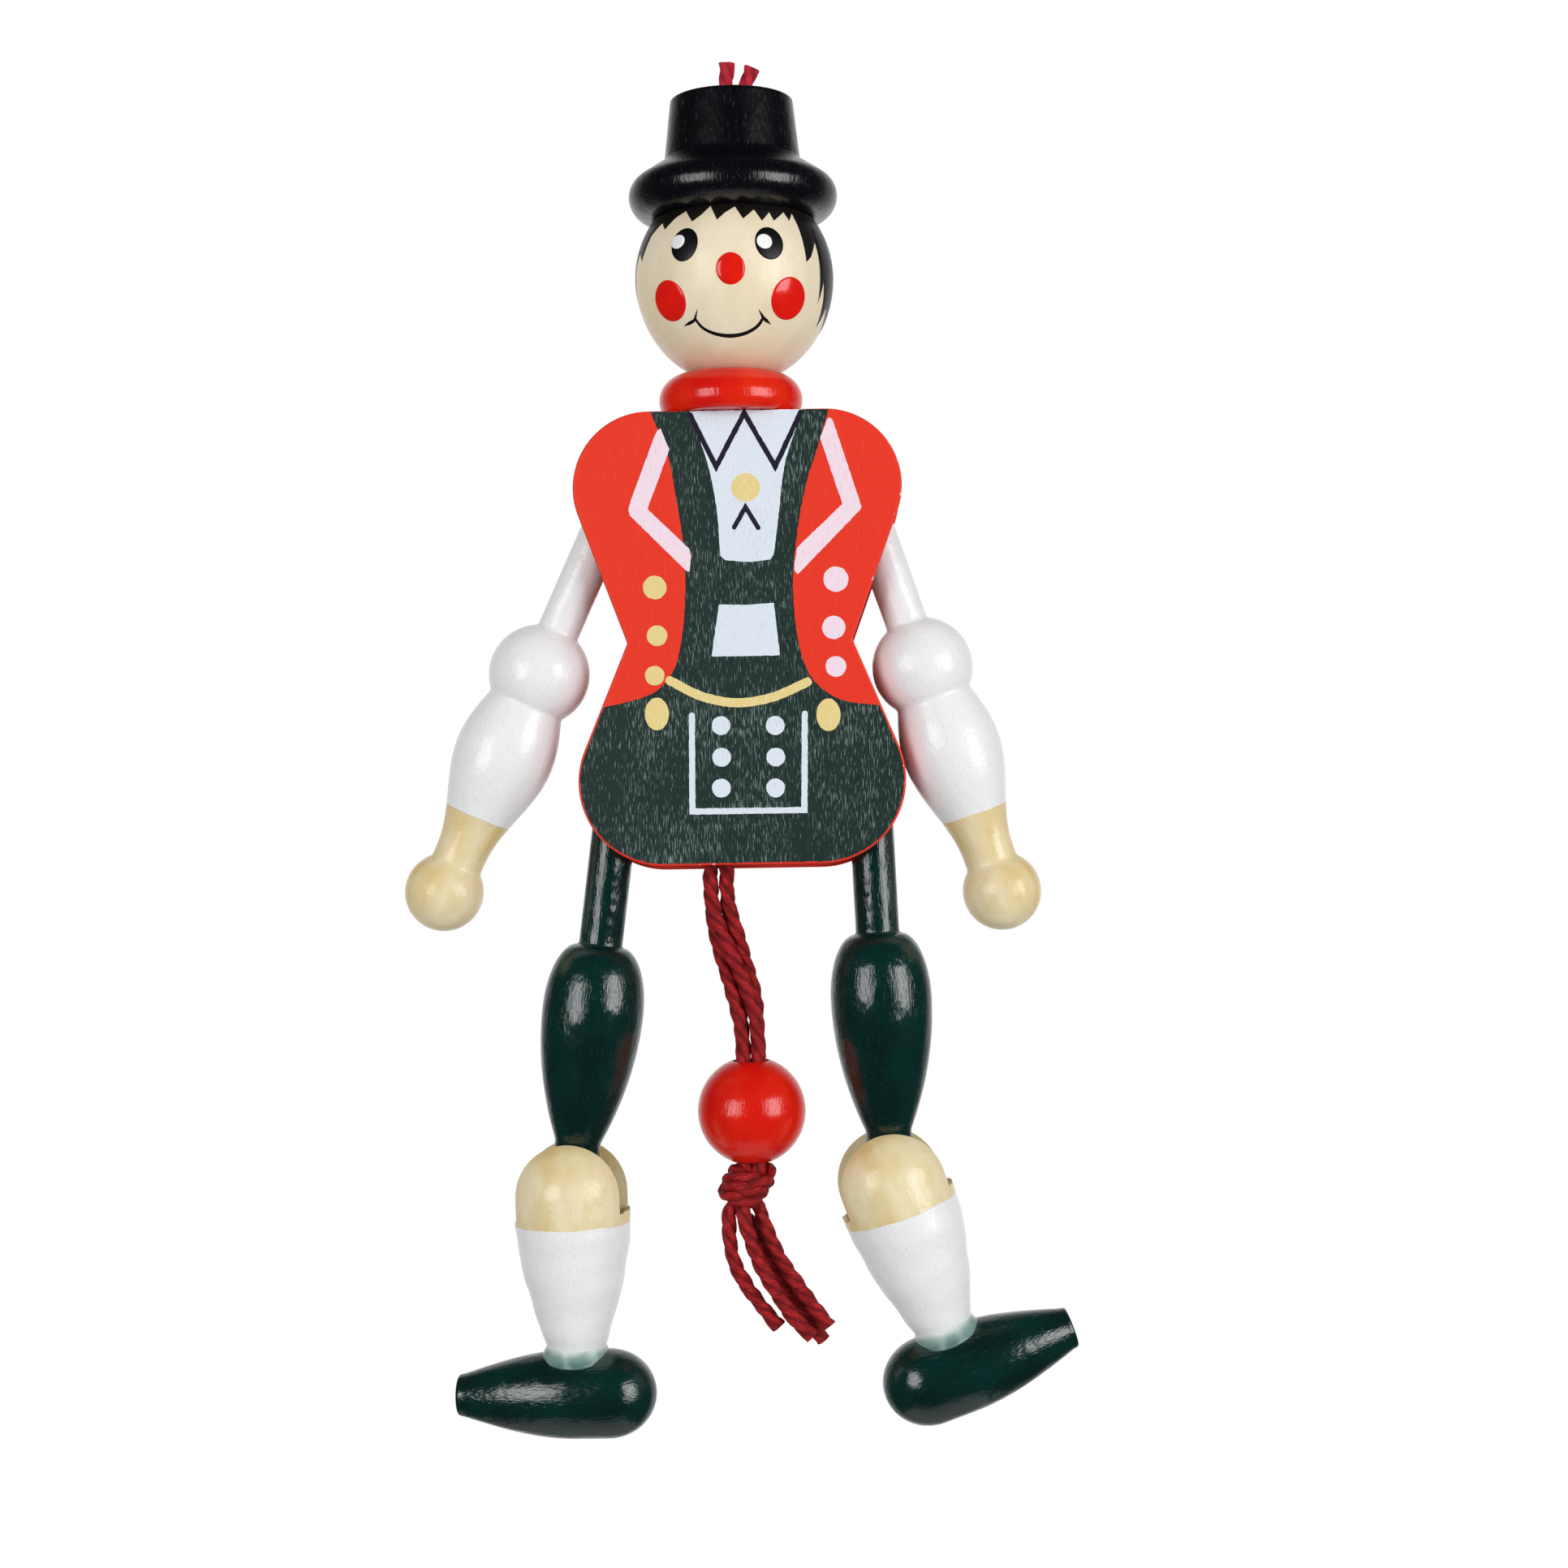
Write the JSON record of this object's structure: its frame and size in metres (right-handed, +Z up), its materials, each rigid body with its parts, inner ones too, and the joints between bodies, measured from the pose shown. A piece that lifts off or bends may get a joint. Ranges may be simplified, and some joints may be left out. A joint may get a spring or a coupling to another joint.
{
  "type": "pull string jumping jack",
  "caption": "Wooden pull-string jumping jack: flat body of paired boards, turned limbs on pins with cord levers, slotted knees, turned head with hat, pull bead and hanging cord.",
  "frame": {"origin": "centre of the hat's flat top, where the hanging cord comes out", "axes": "+Z up along the body, +X to the viewer's right, -Y out of the printed front towards the viewer"},
  "size_m": [0.0901, 0.0282, 0.1856],
  "materials": {
    "black_lacquer": "gloss black lacquer on turned wood",
    "clear_beech": "clear gloss lacquer on pale wood",
    "red_paint": "satin red-orange paint on wood",
    "bare_wood": "bare sawn wood",
    "white_lacquer": "gloss white lacquer on turned wood",
    "green_lacquer": "gloss bottle green lacquer on turned wood",
    "steel": "plain steel wire nail",
    "red_cotton": "twisted cotton cord"
  },
  "bodies": {
    "torso": {"front_board": "red_paint", "back_board": "red_paint", "neck_block": "bare_wood", "left_waist_dowel": "bare_wood", "right_waist_dowel": "bare_wood", "neck_ring": "red_paint", "left_shoulder_pin": "steel", "right_shoulder_pin": "steel", "left_hip_pin": "steel", "right_hip_pin": "steel", "hanging_cord": "red_cotton", "hanger_knot": "red_cotton", "left_arm_inner_cord": "red_cotton", "right_arm_inner_cord": "red_cotton", "left_leg_inner_cord": "red_cotton", "right_leg_inner_cord": "red_cotton"},
    "head_and_hat": {"head": "clear_beech", "hat": "black_lacquer"},
    "left_arm_body": {"left_arm": "white_lacquer", "left_arm_knot": "red_cotton"},
    "right_arm_body": {"right_arm": "white_lacquer", "right_arm_knot": "red_cotton"},
    "left_thigh_body": {"left_thigh": "green_lacquer", "left_leg_knot": "red_cotton"},
    "right_thigh_body": {"right_thigh": "green_lacquer", "right_leg_knot": "red_cotton"},
    "left_calf_body": {"left_calf": "white_lacquer", "left_shoe": "green_lacquer", "left_knee_pin": "steel"},
    "right_calf_body": {"right_calf": "white_lacquer", "right_shoe": "green_lacquer", "right_knee_pin": "steel"},
    "pull": {"pull_bead": "red_paint", "pull_knot": "red_cotton", "left_arm_cord": "red_cotton", "right_arm_cord": "red_cotton", "left_leg_cord": "red_cotton", "right_leg_cord": "red_cotton", "left_arm_tail": "red_cotton", "right_arm_tail": "red_cotton", "left_leg_tail": "red_cotton", "right_leg_tail": "red_cotton"}
  },
  "joints": [
    {"name": "left_hip", "type": "hinge", "parent": "torso", "child": "left_thigh_body", "pos_m": [-0.0171, 0, -0.09454], "axis": [0, 1, 0], "range_deg": [0, 72], "deforming": ["left_leg_inner_cord"]},
    {"name": "right_hip", "type": "hinge", "parent": "torso", "child": "right_thigh_body", "pos_m": [0.0171, 0, -0.09334], "axis": [0, -1, 0], "range_deg": [0, 72], "deforming": ["right_leg_inner_cord"]},
    {"name": "left_shoulder", "type": "hinge", "parent": "torso", "child": "left_arm_body", "pos_m": [-0.0154, 0, -0.05104], "axis": [0, 1, 0], "range_deg": [0, 100], "deforming": ["left_arm_inner_cord"]},
    {"name": "right_shoulder", "type": "hinge", "parent": "torso", "child": "right_arm_body", "pos_m": [0.0154, 0, -0.04984], "axis": [0, -1, 0], "range_deg": [0, 100], "deforming": ["right_arm_inner_cord"]},
    {"name": "left_knee", "type": "hinge", "parent": "left_thigh_body", "child": "left_calf_body", "pos_m": [-0.02418, 0, -0.14757], "axis": [0.095, 0.9954, -0.0127], "range_deg": [-15, 80]},
    {"name": "right_knee", "type": "hinge", "parent": "right_thigh_body", "child": "right_calf_body", "pos_m": [0.01915, 0, -0.1468], "axis": [0.0471, -0.9989, 0.0018], "range_deg": [-10, 58]},
    {"name": "pull_slide", "type": "slide", "parent": "torso", "child": "pull", "axis": [0, 0, -1], "range_m": [0, 0.0064]},
    {"name": "head_turn", "type": "hinge", "parent": "torso", "child": "head_and_hat", "pos_m": [0, 0, -0.02415], "axis": [0, 0, 1], "range_deg": [-60, 60]}
  ],
  "couplings": [
    {"joint": "right_hip", "follows": "left_hip", "ratio": 1},
    {"joint": "left_shoulder", "follows": "left_hip", "ratio": 1.3888},
    {"joint": "right_shoulder", "follows": "left_hip", "ratio": 1.3888},
    {"joint": "pull_slide", "follows": "left_hip", "m_per_rad": 0.005092}
  ]
}
